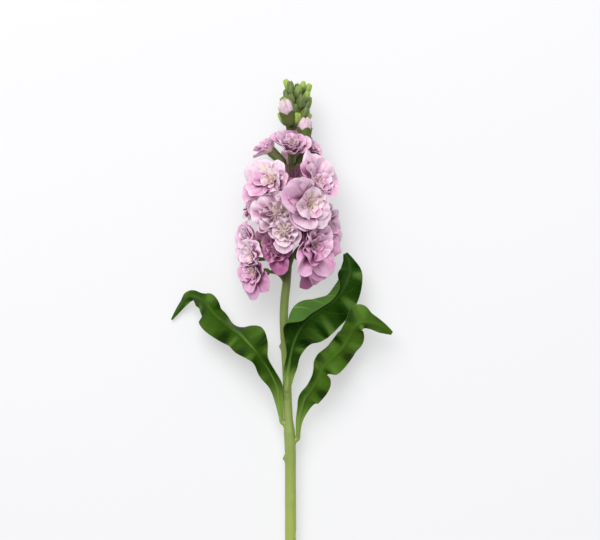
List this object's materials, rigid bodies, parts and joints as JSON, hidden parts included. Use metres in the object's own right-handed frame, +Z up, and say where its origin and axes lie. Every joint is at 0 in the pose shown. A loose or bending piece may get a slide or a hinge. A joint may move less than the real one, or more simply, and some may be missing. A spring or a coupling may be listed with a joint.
{
  "type": "stock flower stem",
  "caption": "Cut stock flower stem lying down: a spike of ruffled double lilac-pink blooms with buds at the tip, a bare green stalk and long waved leaves.",
  "frame": {"origin": "middle of the footprint, on the surface that the stem lies on", "axes": "+Y along the stem from the cut end towards the bud tip, +Z up from the surface, +X to the right seen from above with the tip away"},
  "size_m": [0.145, 0.3958, 0.0701],
  "materials": {
    "stem": "fresh green stalk, satin, faintly ridged",
    "petals": "soft matte petals, lilac-pink with cream throats and mauve depths",
    "bud": "soft matte furled petals, pale pink",
    "leaf": "satin dark green with a pale midrib, lighter underside"
  },
  "bodies": {
    "root": {"stem": "stem", "bloom_crown_front": "petals", "bloom_crown_left": "petals", "bloom_crown_right": "petals", "bloom_crown_back": "petals", "bloom_upper_left": "petals", "bloom_upper_right": "petals", "bloom_upper_back": "petals", "bloom_mid_right": "petals", "bloom_mid_left_back": "petals", "bloom_mid_centre": "petals", "bloom_mid_right_back": "petals", "bloom_deep_upper": "petals", "bloom_mid_back": "petals", "bloom_low_centre": "petals", "bloom_low_left_upper": "petals", "bloom_low_back_left": "petals", "bloom_low_right": "petals", "bloom_low_left": "petals", "bloom_low_back_right": "petals", "bloom_deep_right": "petals", "bloom_deep_middle": "petals", "bloom_deep_left": "petals", "bloom_bottom_left": "petals", "bloom_bottom_right": "petals", "bud_left": "bud", "bud_right": "bud", "bud_back": "bud", "leaf_left": "leaf", "leaf_centre": "leaf", "leaf_right": "leaf"}
  },
  "joints": []
}
